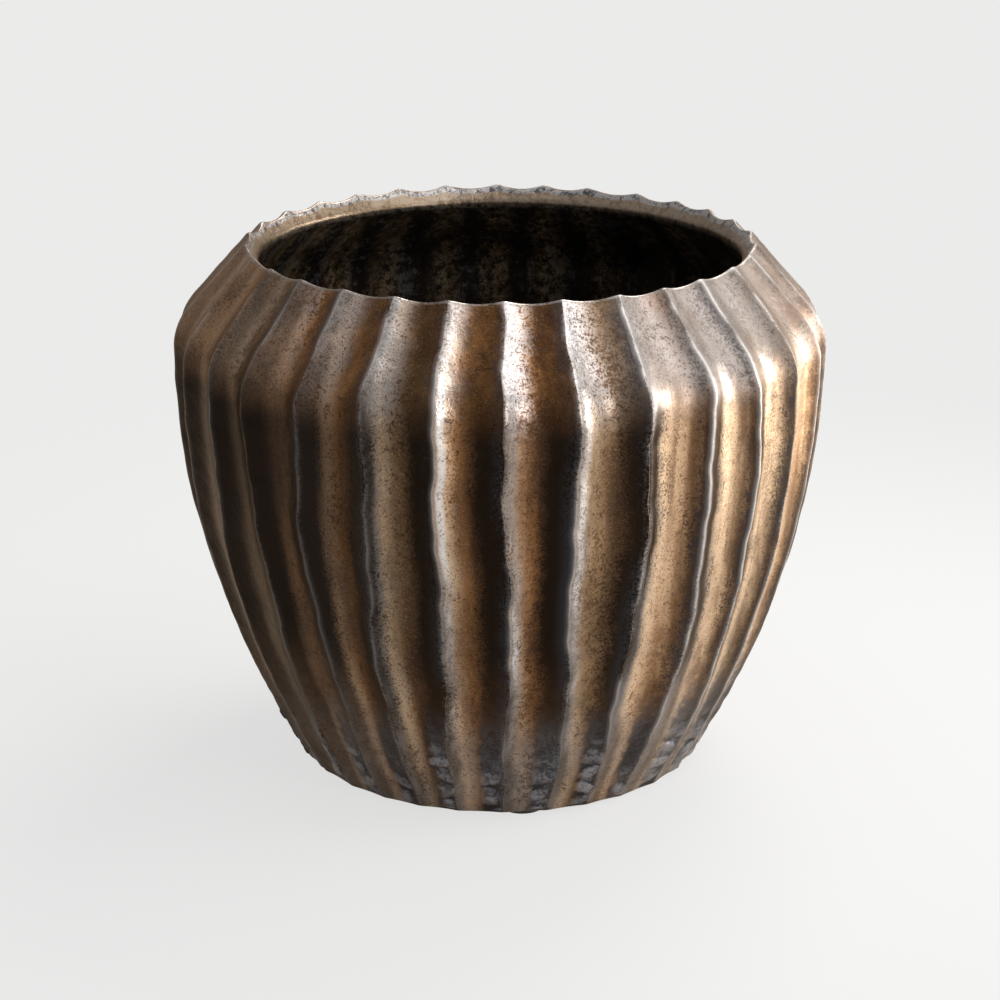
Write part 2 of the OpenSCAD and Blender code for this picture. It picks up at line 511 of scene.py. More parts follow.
    def lees(self, g: GlazeRecipe, colour: bpy.types.NodeSocket) -> bpy.types.NodeSocket:
        """The dark lee of each crest, painted shade: grey towards the next crest, and near the foot
        beads with painted highlights on their tops and painted shade round them.

        Args:
            g: the glaze's recipe.
            colour: the colour below.

        Returns:
            The new colour.
        """
        # Painted shade: the pot's left is painted darker on its upper belly and along the neck's
        # outline.
        dim = g.left * (1 - g.neck) * (1 - g.footward * 0.5) * g.upper_belly
        dim = dim.at_least(g.neck * g.left_outline * 0.6)
        # Painted shade: the lee of each flute, away from its painted lit side, is painted dark, less so
        # near the foot and on the neck.
        painted_shade = (1 - g.lit * (1 - dim)) * (1 - g.footward * 0.45 - g.neck * 0.58)
        colour = g.blend(painted_shade, colour, self.lee)
        cool = g.across.ramp(0.72, 0.95) * (g.patches + g.speck).ramp(0.40, 0.62) * 0.55
        low = g.patches * 0.5 + g.runs * 0.35 + g.across.ramp(0.4, 0.75) * 0.55 + g.speck * 0.8
        low = g.foot * low.ramp(0.6, 0.9)
        colour = g.blend(cool.at_least(low * 0.9), colour, self.gunmetal)
        colour = g.blend(low * g.grit.ramp(0.35, 0.65) * 0.5, colour, self.pewter)
        # The beads are pewter, strongest on their tops as a painted highlight.
        beads = g.knuckle.ramp(0.3, 0.95) * g.grit.ramp(0.3, 0.6, 0.2, 1.0)
        colour = g.blend(beads, colour, self.pewter)
        # Painted shade: the darkest colour in the lee round the beads near the foot.
        gap_shade = g.footward * g.across.ramp(0.45, 0.6) * (1 - g.knuckle.ramp(0.0, 0.35))
        gap_shade = gap_shade * (g.mottle + g.runs).ramp(0.85, 1.05)
        return g.blend(gap_shade * 0.8, colour, self.near_black)

    def crest_line(self, g: GlazeRecipe) -> Number:
        """Strength of the broken bright line on each crest: partly glaze that ran off the crest, partly
        a painted highlight, stronger on the neck and the pot's right and weaker on its left.
        """
        line = g.crest * (g.runs + g.speck * 0.5).ramp(0.38, 0.56)
        line = line * (1 - g.left * 0.6) * (1 - g.footward * 0.4)
        return line * (0.25 + g.neck * 0.30 + g.right * (1 - g.neck * 0.8) * 0.3)

    def rim(self, g: GlazeRecipe) -> bpy.types.NodeSocket:
        """Colour of the bevel: mottled grey along the scallops and tan towards the mouth.

        Args:
            g: the glaze's recipe.

        Returns:
            The colour.
        """
        scallops = g.blend(g.grit.ramp(0.3, 0.6), self.gunmetal, self.silver)
        rim = g.blend((g.bevel + (g.mottle - 0.5) * 0.3).ramp(0.42, 0.6), scallops, self.tan)
        return g.blend(g.grit.ramp(0.55, 0.35) * g.bevel.ramp(0.4, 0.7) * 0.5, rim, self.umber)

    def lining(self, g: GlazeRecipe) -> bpy.types.NodeSocket:
        """Colour of the inside: near black, with olive bands down the crests and some pewter.

        Args:
            g: the glaze's recipe.

        Returns:
            The colour.
        """
        band = g.across.ramp(0.45, 0.1).at_least(g.across.ramp(0.55, 0.9)) * g.runs.ramp(0.3, 0.6)
        lining = g.blend(band * g.grit.ramp(0.3, 0.7), self.near_black, self.olive)
        return g.blend((g.mottle + g.runs + g.speck).ramp(1.0, 1.3) * 0.3, lining, self.pewter)

    def roughness(self, g: GlazeRecipe) -> Number:
        """Satin on the glaze, rougher in the lees and on the pot's right, dull on bare clay."""
        rough = 0.24 + g.mottle * 0.18 + (1 - g.lit) * 0.08 + g.footward * 0.04
        rough = rough + g.right * (g.neck * 0.03 + 0.11)
        return (rough * (1 - g.inside * 0.2) + g.bare * 0.6).at_most(self.most_rough)

    def coat(self, g: GlazeRecipe) -> Number:
        """A thin clear gloss on the lit sides."""
        return (1 - g.bare) * (1 - g.inside * 0.7) * (g.lit * 0.2 + g.core * 0.3) * g.bright

    def relief(self, g: GlazeRecipe) -> bpy.types.NodeSocket:
        """Swells, mottling and pinholes that are finer than the skin's mesh."""
        normal = g.bump(g.clouds(self.grains.swell), self.swell_depth)
        normal = g.bump(g.mottle, self.mottle_depth, normal)
        return g.bump(g.fleck, self.fleck_depth, normal)


@dataclass(frozen=True)
class BlackFelt:
    """Pressed black felt with loose fibres."""

    pile: Colour = (0.012, 0.012, 0.013)
    fluff: Colour = (0.055, 0.053, 0.052)
    fibre: Grain = Grain(2600, 4, 0.75, (1, 0.35, 1))
    tuft: Grain = Grain(900, 2, 0.6)
    pile_depth: float = 0.25 * MM
    rough: float = 0.95
    sheen: float = 0.4
    sheen_rough: float = 0.5

    def material(self) -> bpy.types.Material:
        """Makes the felt.

        Returns:
            The material.
        """
        material = new_material("black_felt")
        r = Recipe(material.node_tree)
        fibres, tufts = r.clouds(self.fibre), r.clouds(self.tuft)
        colour = r.blend((fibres * 0.7 + tufts * 0.3).ramp(0.4, 0.75), self.pile, self.fluff)
        r.finish({
            "Base Color": colour,
            "Roughness": self.rough,
            "Sheen Weight": self.sheen,
            "Sheen Roughness": self.sheen_rough,
            "Normal": r.bump(fibres * 0.6 + tufts * 0.4, self.pile_depth),
        })
        return material


@dataclass(frozen=True)
class NurseryPlastic:
    """Thin black moulded plastic, faintly dusty and scuffed."""

    black: Colour = (0.018, 0.018, 0.019)
    dust: Colour = (0.09, 0.083, 0.074)
    peel: Grain = Grain(1400, 2, 0.5)
    scuff: Grain = Grain(160, 4, 0.7, (1, 1, 0.2))
    film: Grain = Grain(45, 4, 0.65)
    peel_depth: float = 0.05 * MM
    scuff_depth: float = 0.08 * MM

    def material(self) -> bpy.types.Material:
        """Makes the plastic.

        Returns:
            The material.
        """
        material = new_material("black_plastic")
        r = Recipe(material.node_tree)
        peel, scuffs = r.clouds(self.peel), r.clouds(self.scuff)
        dusty = r.clouds(self.film).ramp(0.5, 0.78)
        r.finish({
            "Base Color": r.blend(dusty * 0.5, self.black, self.dust),
            "Roughness": 0.36 + dusty * 0.22 + scuffs.ramp(0.55, 0.75) * 0.12,
            "Normal": r.bump(peel, self.peel_depth, r.bump(scuffs, self.scuff_depth)),
        })
        return material


@dataclass(frozen=True)
class PaleFloor:
    """Plain pale studio floor, which a camera sees as an even pale tone away from the pot."""

    pale: Colour = (0.77, 0.765, 0.755)
    glow: Colour = (0.83, 0.83, 0.825)
    rough: float = 0.55
    specular: float = 0.3
    seen_share: float = 0.83
    mirrored_share: float = 0.32
    near_r: float = 0.12
    far_r: float = 0.45

    def material(self) -> bpy.types.Material:
        """Makes the floor's paint.

        Returns:
            The material.
        """
        material = new_material("pale_floor")
        r = Recipe(material.node_tree)
        paint = r.add(
            "ShaderNodeBsdfPrincipled",
            {},
            {"Base Color": self.pale, "Roughness": self.rough, "Specular IOR Level": self.specular},
        )
        glow = r.add("ShaderNodeEmission", {}, {"Color": self.glow, "Strength": 1.0})
        path = r.add("ShaderNodeLightPath").outputs
        mirrored = Number(r, path["Is Glossy Ray"]).at_least(Number(r, path["Is Transmission Ray"]))
        length = r.add("ShaderNodeVectorMath", {"operation": "LENGTH"}, {0: r.place})
        reach = Number(r, length.outputs["Value"])
        plain = reach.ramp(self.near_r, self.far_r, self.seen_share, 1.0)
        seen = (Number(r, path["Is Camera Ray"]) * plain).at_least(mirrored * self.mirrored_share)
        mixed = r.add("ShaderNodeMixShader", {}, {0: seen, 1: paint.outputs[0], 2: glow.outputs[0]})
        r.add("ShaderNodeOutputMaterial", {}, {"Surface": mixed.outputs[0]})
        return material


# ---------------------------------------------------------------- mesh helpers


def new_object(name: str, data: bpy.types.ID) -> bpy.types.Object:
    """A new object in the scene."""
    made = bpy.data.objects.new(name, data)
    bpy.context.scene.collection.objects.link(made)
    return made


class RingStack:
    """Rings of a skin from the bottom up, each with a value of every mark for each point round."""

    def __init__(self, round_count: int) -> None:
        """Starts an empty stack.

        Args:
            round_count: the number of points round a ring.
        """
        self.ones = np.ones(round_count)
        self.rings: list[Ring] = []
        self.marks: dict[Mark, list[np.ndarray]] = {mark: [] for mark in Mark}

    def add(self, some: list[Ring], **values: Any) -> None:
        """Puts rings on the stack.

        Args:
            some: the rings as (radius, height), each a number or one for each point round.
            values: the rings' marks by name, 0 where a mark isn't given.
        """
        for radius, height in some:
            self.rings.append((radius * self.ones, height * self.ones))
            for mark in Mark:
                self.marks[mark].append(values.get(mark.value, 0.0) * self.ones)


def skin_object(name: str, rings: np.ndarray, marks: dict[Mark, np.ndarray]) -> bpy.types.Object:
    """A skin over a stack of rings, shut by a point on the axis at each end.

    Args:
        name: the piece's name.
        rings: points as an array of shape (rings, points round, 3).
        marks: a value for each point of the rings, by mark.

    Returns:
        The new object, linked to the scene.
    """
    rows, cols, _ = rings.shape
    points = np.concatenate([rings.reshape(-1, 3), [rings[0].mean(0), rings[-1].mean(0)]])
    j, i = np.meshgrid(np.arange(rows - 1), np.arange(cols), indexing="ij")
    right = (i + 1) % cols
    quads = np.stack([j * cols + i, j * cols + right, (j + 1) * cols + right, (j + 1) * cols + i], -1)
    faces = [tuple(q) for q in quads.reshape(-1, 4).tolist()]
    low, high, top = rows * cols, rows * cols + 1, (rows - 1) * cols
    faces += [(low, (k + 1) % cols, k) for k in range(cols)]
    faces += [(high, top + k, top + (k + 1) % cols) for k in range(cols)]
    mesh = bpy.data.meshes.new(name)
    mesh.from_pydata(points.tolist(), [], faces)
    mesh.polygons.foreach_set("use_smooth", [True] * len(mesh.polygons))
    for mark, values in marks.items():
        ends = [values[0].mean(), values[-1].mean()]
        layer = mesh.attributes.new(mark.value, "FLOAT", "POINT")
        layer.data.foreach_set("value", np.concatenate([values.reshape(-1), ends]).astype(np.float32))
    mesh.update()
    return new_object(name, mesh)


def smooth_step(low: Any, high: Any, value: Any) -> np.ndarray:
    """A smooth step from 0 at low to 1 at high."""
    share = np.clip((value - low) / (high - low), 0.0, 1.0)
    return share * share * (3.0 - 2.0 * share)


def soft_min(first: np.ndarray, second: np.ndarray, soft: float) -> np.ndarray:
    """The smaller of two radii, with the corner between them softened."""
    near = np.maximum(soft - np.abs(first - second), 0.0)
    return np.minimum(first, second) - near * near / (4.0 * soft)


def beyond(ring: Ring, way: np.ndarray, distance: float) -> Ring:
    """A ring moved by a distance along a direction in radius and height."""
    return ring[0] + way[0] * distance, ring[1] + way[1] * distance


def rounded(before: Ring, corner: Ring, after: Ring, rows: int) -> list[Ring]:
    """Rings round a soft corner between two rings.

    Args:
        before: the ring where the corner begins.
        corner: the sharp corner.
        after: the ring where the corner ends.
        rows: the number of rings.

    Returns:
        The rings of the corner, its ends left out.
    """
    made = []
    for t in np.linspace(0, 1, rows + 2)[1:-1]:
        weights = ((1 - t) ** 2, 2 * t * (1 - t), t * t)
        r = sum(w * ring[0] for w, ring in zip(weights, (before, corner, after)))
        z = sum(w * ring[1] for w, ring in zip(weights, (before, corner, after)))
        made.append((r, z))
    return made


@dataclass(frozen=True)
class Lumps:
    """Soft noise in the skin: cells per metre along each axis, a seed and a depth in metres."""

    per_metre: tuple[float, float, float]
    seed: float
    depth: float

    def at(self, points: np.ndarray) -> np.ndarray:
        """How far the lumps move each point outwards.

        Args:
            points: points as an array of shape (..., 3), in metres.

        Returns:
            The distance for each point, in metres.
        """
        scaled = points.reshape(-1, 3) * np.array(self.per_metre) + self.seed
        values = [noise.noise(Vector(p)) for p in scaled.tolist()]
        return np.array(values).reshape(points.shape[:-1]) * self.depth


@dataclass(frozen=True)
class Wave:
    """A wave up a crest: its swing, step from crest to crest and turn per millimetre, in degrees."""

    swing: float
    step: float
    turn: float

    def at(self, crest: np.ndarray, up: np.ndarray) -> np.ndarray:
        """The swing of a crest at a height in millimetres."""
        return self.swing * np.sin(np.radians(self.step * crest + self.turn * up))


# ---------------------------------------------------------------- the pot


@dataclass(frozen=True)
class Beads:
    """Beads of glaze in a lee: lengths up the pot in mm, places and widths as shares of a flute.

    A pair is a middle value and how far it varies to each side, a step the change from flute to
    flute in degrees, and fade where the beads begin and end to fade, measured from their reach.
    """

    pitch: Span = (3.9, 0.7)
    pitch_step: float = 203
    jog: float = 0.33
    middle: Span = (0.75, 0.06)
    width: Span = (0.20, 0.06)
    lean: float = 6.0
    half_length: float = 0.6
    fullness: Span = (0.7, 0.3)
    reach: Span = (19.0, 8.0)
    reach_step: float = 131
    fade: Span = (-8.0, 5.0)


@dataclass
class PotBody:
    """The fired pot: its outline, its flutes and the skin over them."""

    pot_h: float = 157.6 * MM
    foot_r: float = 60.6 * MM
    shoulder_h: float = 133.6 * MM
    shoulder_r: float = 96.6 * MM
    shoulder_soft: float = 5.2 * MM
    belly_arc_r: float = 238 * MM
    rim_r: float = 75 * MM
    flute_count: int = 30
    gouge_r: float = 13.5 * MM
    gouge_spread: float = 0.06
    gouge_step: float = 151
    tone_step: float = 241
    foot_flute_share: float = 0.5
    foot_flute_h: float = 10 * MM
    first_crest_a: float = -88.8
    mouth_r: float = 70.6 * MM
    bevel_a: float = 54.0
    wall_t: float = 4.6 * MM
    ripple_t: float = 1.6 * MM
    ripple_fade_h: float = 14 * MM
    floor_t: float = 7 * MM
    floor_corner_r: float = 9 * MM
    recess_t: float = 2.4 * MM
    recess_r: float = 45 * MM

    crest_soft: float = 1.0 * MM
    foot_soft: float = 1.4 * MM
    foot_soft_r: float = 2.2 * MM
    foot_tuck: float = 0.3 * MM
    recess_soft: float = 1.2 * MM
    edge_soft: float = 1.1 * MM
    mouth_soft: float = 2.2 * MM
    settle_h: float = 16 * MM
    crest_line_t: float = 0.65 * MM
    edge_line_t: float = 1.5 * MM
    footward_z: Span = (10 * MM, 62 * MM)

    columns: int = 16
    outside_rows: int = 168
    dense_rows: int = 56
    dense_h: float = 30 * MM
    inside_rows: int = 70
    recess_shares: tuple[float, ...] = (0.04, 0.3, 0.6, 0.9, 0.975)
    clay_shares: tuple[float, ...] = (0.12, 0.5, 0.86)
    floor_shares: tuple[float, ...] = (0.93, 0.75, 0.5, 0.25, 0.04)

    wander: tuple[Wave, ...] = (
        Wave(0.6, 97, 1.7),
        Wave(0.4, 223, -4.1),
        Wave(0.24, 311, 9.7),
        Wave(0.15, 137, -21),
        Wave(0.07, 71, 43),
    )
    beads: Beads = Beads()
    bead_t: float = 0.95 * MM
    swells: Lumps = Lumps((28, 28, 20), 3.1, 0.45 * MM)
    dents: Lumps = Lumps((95, 95, 60), 11.7, 0.16 * MM)
    wrinkles: Lumps = Lumps((230, 230, 300), 23.9, 0.32 * MM)
    nicks: Lumps = Lumps((240, 240, 170), 41.3, 0.22 * MM)
    skin_sink: float = 0.4 * MM
    recess_margin: float = 2 * MM

    body: Body = Body.PLANTER
    slot: str = "bronze_glaze"
    finish: BronzeGlaze = BronzeGlaze()

    def __post_init__(self) -> None:
        """Works out the derived sizes, and the flute and place across it of each point round."""
        low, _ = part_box("pot_body")
        self.foot_z = low[2]
        self.pitch = 360 / self.flute_count
        self.half_pitch_sine = math.sin(math.radians(self.pitch / 2))
        self.neck_slope = (self.shoulder_r - self.rim_r) / (self.pot_h - self.shoulder_h)
        self.bevel_slope = math.tan(math.radians(self.bevel_a))
        self.mouth_h = self.pot_h - (self.rim_r - self.mouth_r) * self.bevel_slope
        self.down_bevel = np.array([-1.0, -self.bevel_slope]) / math.hypot(1, self.bevel_slope)
        self.down_inside = np.array([self.neck_slope, -1.0]) / math.hypot(1, self.neck_slope)
        chord = np.array([self.shoulder_r - self.foot_r, self.shoulder_h])
        length = float(np.hypot(*chord))
        rise = math.sqrt(self.belly_arc_r**2 - (length / 2) ** 2)
        across = np.array([-chord[1], chord[0]]) / length
        self.arc_centre = np.array([self.foot_r, 0.0]) + chord / 2 + across * rise
        self.flute = np.repeat(np.arange(self.flute_count), self.columns)
        turn = np.pi * np.arange(self.columns) / self.columns
        self.share = np.tile((1 - np.cos(turn)) / 2, self.flute_count)
        self.near = np.minimum(self.share, 1 - self.share)

    def by_flute(self, step: float) -> np.ndarray:
        """A value from -1 to 1 that changes from flute to flute, by a step in degrees."""
        return np.sin(np.radians(step * self.flute))

    def belly_radius(self, z: np.ndarray) -> np.ndarray:
        """Radius of the belly's arc at a height above the foot."""
        return self.arc_centre[0] + np.sqrt(self.belly_arc_r**2 - (z - self.arc_centre[1]) ** 2)

    def crest_radius(self, z: np.ndarray) -> np.ndarray:
        """Radius over the crests at a height above the foot."""
        neck = self.rim_r + (self.pot_h - z) * self.neck_slope
        return soft_min(self.belly_radius(z), neck, self.shoulder_soft)

    def crest_direction(self, k: np.ndarray, z: np.ndarray) -> np.ndarray:
        """Direction of a crest: each one wanders in its own way up the pot.

        Args:
            k: the crest's number.
            z: the height above the foot, in metres.

        Returns:
            The direction in degrees.
        """
        sway = sum(wave.at(k % self.flute_count, z / MM) for wave in self.wander)
        return self.first_crest_a + self.pitch * k + sway

    def directions(self, z: np.ndarray) -> np.ndarray:
        """Direction of every point round at a height, in radians."""
        here = self.crest_direction(self.flute, z)
        following = self.crest_direction(self.flute + 1, z)
        return np.radians(here + (following - here) * self.share)

    def hollow_depth(self, r: np.ndarray) -> np.ndarray:
        """How far the skin lies below its crests, where the crests have radius r.

        Args:
            r: the radius over the crests, one for each point round.

        Returns:
            The depth for each point round, soft at the crests.
        """
        gouge = self.gouge_r * (1 + self.gouge_spread * self.by_flute(self.gouge_step))
        width = 2 * r * self.half_pitch_sine
        blunt = (width / 2) / np.sqrt((width / 2) ** 2 + self.crest_soft**2)
        to_crest = np.sqrt((self.near * width) ** 2 + self.crest_soft**2) * blunt
        at_crest = self.crest_soft * blunt
        full = np.sqrt(gouge**2 - (width / 2 - to_crest) ** 2)
        return full - np.sqrt(gouge**2 - (width / 2 - at_crest) ** 2)

    def run_out(self, z: np.ndarray) -> np.ndarray:
        """The share of its depth that a flute has at a height: it runs out towards the foot."""
        risen = np.clip(z / self.foot_flute_h, 0, 1)
        return self.foot_flute_share + (1 - self.foot_flute_share) * risen

    def knuckles(self, z: np.ndarray) -> np.ndarray:
        """Beads of glaze that crawled together low in the lee of each crest, from 0 to 1.

        Args:
            z: the height above the foot, one for each point round.

        Returns:
            The height of the beads for each point round, 0 between and above them.
        """
        up, size = z / MM, self.beads
        pitch = size.pitch[0] + size.pitch[1] * self.by_flute(size.pitch_step)
        beads = np.zeros(self.share.shape)
        for neighbour in (-1, 0, 1):
            count = np.round(up / pitch) + neighbour
            own = np.radians(97 * self.flute + 149 * count)  # each bead's own angle, to vary it by
            centre = (count + size.jog * np.sin(own)) * pitch
            aside = self.share - (size.middle[0] + size.middle[1] * np.sin(2.3 * own))
            width = size.width[0] + size.width[1] * np.sin(3.1 * own)
            slant = aside * size.lean * np.sin(1.7 * own)
            away = np.abs((up - centre - slant) / (size.half_length * pitch)) ** 2.5
            away = away + np.abs(aside / width) ** 3
            full = size.fullness[0] + size.fullness[1] * np.cos(own)
            beads = np.maximum(beads, full * np.clip(1 - away, 0, 1) ** 0.4)
        reach = size.reach[0] + size.reach[1] * self.by_flute(size.reach_step)
        return beads * (1 - smooth_step(reach + size.fade[0], reach + size.fade[1], up))

    def rim_edge(self) -> Ring:
        """Radius and height of the scalloped edge, where the bevel cuts the flutes."""
        drop = self.hollow_depth(np.full(self.flute.shape, self.rim_r))
        drop = drop / (1 + self.bevel_slope * self.neck_slope)
        return self.rim_r - drop, self.pot_h - drop * self.bevel_slope

    def outside_ring(self, z: np.ndarray) -> Ring:
        """The fluted outside's ring at a height above the foot, one for each point round."""
        r = self.crest_radius(z)
        return r - self.hollow_depth(r) * self.run_out(z), z

    def outside_rings(self) -> list[Ring]:
        """Rings up the fluted outside, closer together where the beads are.

        Returns:
            The rings from just above the foot to just below the rim.
        """
        top = self.pot_h - self.edge_soft
        _, edge_z = self.rim_edge()
        dense = np.linspace(self.foot_soft, self.dense_h, self.dense_rows, endpoint=False)
        rest = np.linspace(self.dense_h, top, self.outside_rows - self.dense_rows)
        rings = []
        for level in np.concatenate([dense, rest]):
            sink = (self.pot_h - edge_z) * smooth_step(top - self.settle_h, top, level)
            rings.append(self.outside_ring(level - sink))
        return rings

    def inside_radius(self, z: Any) -> np.ndarray:
        """Radius of the inside at a height above the foot, at the bottom of a flute."""
        belly = self.belly_radius(z)
        width = belly * self.half_pitch_sine
        wall = belly - (self.gouge_r - np.sqrt(self.gouge_r**2 - width**2)) - self.wall_t
        return soft_min(wall, self.mouth_r + (self.mouth_h - z) * self.neck_slope, self.shoulder_soft)

    def ripple(self, z: float) -> np.ndarray:
        """How far the inside follows the crests, for each point round."""
        grow = float(np.clip((self.mouth_h - z) / self.ripple_fade_h, 0, 1))
        fade = float(np.clip((z - self.floor_t) / self.floor_corner_r - 1, 0, 1))
        return self.ripple_t * grow * fade * (1 + np.cos(2 * np.pi * self.share)) / 2

    def stack(self) -> RingStack:
        """All rings of the skin, from the middle of the underside to the middle of the floor.

        Returns:
            The stack of rings with their marks.
        """
        stack = RingStack(len(self.flute))
        outside = self.outside_rings()
        self.add_underside(stack)
        self.add_outside(stack, outside)
        self.add_rim(stack, outside[-1])
        self.add_inside(stack)
        return stack

    def add_underside(self, stack: RingStack) -> None:
        """Adds the glazed recess, the foot's bare ring and its soft outer edge.

        Args:
            stack: the stack to add to.
        """
        r, t = self.recess_r, self.recess_t
        recess = [(r * share, t) for share in self.recess_shares]
        recess += rounded(recess[-1], (r, t), (r, t / 2), 3)
        stack.add(recess, inside=0.35, across=0.5, footward=1.0)
        foot, _ = self.outside_ring(self.foot_soft * stack.ones)
        clay = rounded((r, t / 2), (r, 0.0), (r + self.recess_soft, 0.0), 3)
        clay += [(r + share * (foot - r), 0.0) for share in self.clay_shares]
        stack.add(clay, bare=1.0)
        before, corner = (foot - self.foot_soft_r, 0.0), (foot - self.foot_tuck, 0.0)
        edge = rounded(before, corner, (foot, self.foot_soft), 4)
        for ring, bare in zip(edge, (1.0, 0.5, 0.0, 0.0)):
            stack.add([ring], bare=bare, across=self.share, footward=1.0)

    def add_outside(self, stack: RingStack, outside: list[Ring]) -> None:
        """Adds the fluted outside.

        Args:
            stack: the stack to add to.
            outside: the outside's rings.
        """
        for r, z in outside:
            from_crest = self.near * 2 * r * self.half_pitch_sine
            stack.add(
                [(r, z)],
                crest=np.exp(-((from_crest / self.crest_line_t) ** 2)),
                across=self.share,
                tone=0.5 + 0.5 * self.by_flute(self.tone_step),
                knuckle=self.knuckles(z),
                footward=1 - smooth_step(*self.footward_z, z),
            )

    def add_rim(self, stack: RingStack, below: Ring) -> None:
        """Adds the scalloped edge, the bevel and the soft edge of the mouth.

        Args:
            stack: the stack to add to.
            below: the outside's last ring.
        """
        edge_r, edge_z = self.rim_edge()
        after_edge = beyond((edge_r, edge_z), self.down_bevel, self.edge_soft)
        from_crest = self.near * 2 * self.rim_r * self.half_pitch_sine
        crest = np.exp(-((from_crest / self.edge_line_t) ** 2))
        edge = rounded(below, (edge_r, edge_z), after_edge, 5)
        stack.add(edge, bevel=0.1, crest=crest, across=self.share)

        mouth = (self.mouth_r * stack.ones, self.mouth_h * stack.ones)
        before_mouth = beyond(mouth, self.down_bevel, -self.mouth_soft)
        after_mouth = beyond(mouth, self.down_inside, self.mouth_soft)
        for s in np.linspace(0, 1, 6):
            ring = tuple(a + (b - a) * s for a, b in zip(after_edge, before_mouth))
            stack.add([ring], bevel=0.15 + 0.85 * s)
        for n, ring in enumerate(rounded(before_mouth, mouth, after_mouth, 5)):
            stack.add([ring], bevel=1 - n / 5, inside=n / 5)

    def add_inside(self, stack: RingStack) -> None:
        """Adds the rippled inside wall, its corner and the floor.

        Args:
            stack: the stack to add to.
        """
        corner = self.floor_corner_r
        start = self.mouth_h + self.down_inside[1] * self.mouth_soft
        end = self.floor_t + corner
        for z in np.linspace(start, end, self.inside_rows):
            stack.add([(self.inside_radius(z) + self.ripple(z), z)], inside=1.0, across=self.share)
        flat = self.inside_radius(end) - corner
        for a in np.radians(np.linspace(12, 90, 7)):
            stack.add([(flat + corner * math.cos(a), end - corner * math.sin(a))], inside=1.0)
        stack.add([(flat * share, self.floor_t) for share in self.floor_shares], inside=1.0)

    def roughen(self, points: np.ndarray, marks: dict[Mark, np.ndarray]) -> np.ndarray:
        """Moves the skin in and out a little, as hands, kiln and thick glaze leave it.

        Args:
            points: the rings' points, shape (rings, round, 3).
            marks: the marks of the same points.

        Returns:
            The moved points.
        """
        glazed = (1 - marks[Mark.BARE]) * (1 - 0.5 * marks[Mark.INSIDE])
        beyond_recess = np.hypot(points[..., 0], points[..., 1]) > self.recess_r + self.recess_margin
        shift = self.swells.at(points) + self.dents.at(points) - self.skin_sink
        shift += self.wrinkles.at(points) * marks[Mark.FOOTWARD] ** 2
        shift += self.nicks.at(points) * marks[Mark.CREST]
        shift += marks[Mark.KNUCKLE] * self.bead_t
        flat = points.copy()
        flat[..., 2] = 0
        outward = flat / np.maximum(np.linalg.norm(flat, axis=-1, keepdims=True), 1e-6)
        return points + outward * (glazed * beyond_recess * shift)[..., None]

    def build(self) -> bpy.types.Object:
        """Builds the skin, dresses it and puts it in place of the plain CAD node.

        Returns:
            The pot.
        """
        stack = self.stack()
        radius = np.array([r for r, _ in stack.rings])
        height = np.array([z for _, z in stack.rings])
        angle = np.array([self.directions(z) for z in height])
        points = np.stack([radius * np.cos(angle), radius * np.sin(angle), height + self.foot_z], -1)
        marks = {mark: np.array(rows) for mark, rows in stack.marks.items()}
        pot = skin_object("fluted_pot", self.roughen(points, marks), marks)
        pot.data.materials.append(self.finish.material())
        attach(pot, self.body.value)
        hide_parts("pot_body")
        LOG.info("fluted_pot: %d faces, %d flutes", len(pot.data.polygons), self.flute_count)
        return pot


@dataclass
class CarriedPiece:
    """A CAD node whose shape is right: it stays, with softened edges and a finish of its own."""

    node: str
    body: Body
    finish: BlackFelt | NurseryPlastic
    edge: float
    edge_segments: int = 3
    sharp_a: float = 35.0

    def build(self) -> bpy.types.Object:
        """Dresses the node.

        Returns:
            The node's object.
        """
        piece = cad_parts[self.node]
        dressed = self.finish.material()
        if not piece.material_slots:
            piece.data.materials.append(dressed)
        for place in piece.material_slots:
            place.link = "OBJECT"
            place.material = dressed
        soften = piece.modifiers.new("soft_edges", "BEVEL")
        soften.width = self.edge
        soften.segments = self.edge_segments
        soften.limit_method = "ANGLE"
        soften.angle_limit = math.radians(self.sharp_a)
        LOG.info("%s: on %s, dressed as %s", self.node, self.body.value, dressed.name)
        return piece


# ---------------------------------------------------------------- studio


@dataclass(frozen=True)
class Softbox:
    """An area lamp aimed at the pot."""

    name: str
    azimuth: float
    elevation: float
    distance: float
    width: float
    height: float
    watts: float
    colour: Colour = (1.0, 1.0, 1.0)
    aim_z: float = 0.08

    def build(self) -> bpy.types.Object:
        """Hangs the lamp. Azimuth 0 is in front of the pot and 90 is on its right.

        Returns:
            The lamp.
        """
        lamp = bpy.data.lights.new(self.name, "AREA")
        lamp.shape = "RECTANGLE"
        lamp.size, lamp.size_y = self.width, self.height
        lamp.energy = self.watts
        lamp.color = self.colour
        made = new_object(self.name, lamp)
        a, e = math.radians(self.azimuth), math.radians(self.elevation)
        away = Vector((math.sin(a) * math.cos(e), -math.cos(a) * math.cos(e), math.sin(e)))
        made.location = away * self.distance + Vector((0, 0, self.aim_z))
        made.rotation_euler = (-away).to_track_quat("-Z", "Y").to_euler()
        made.visible_camera = False
        return made


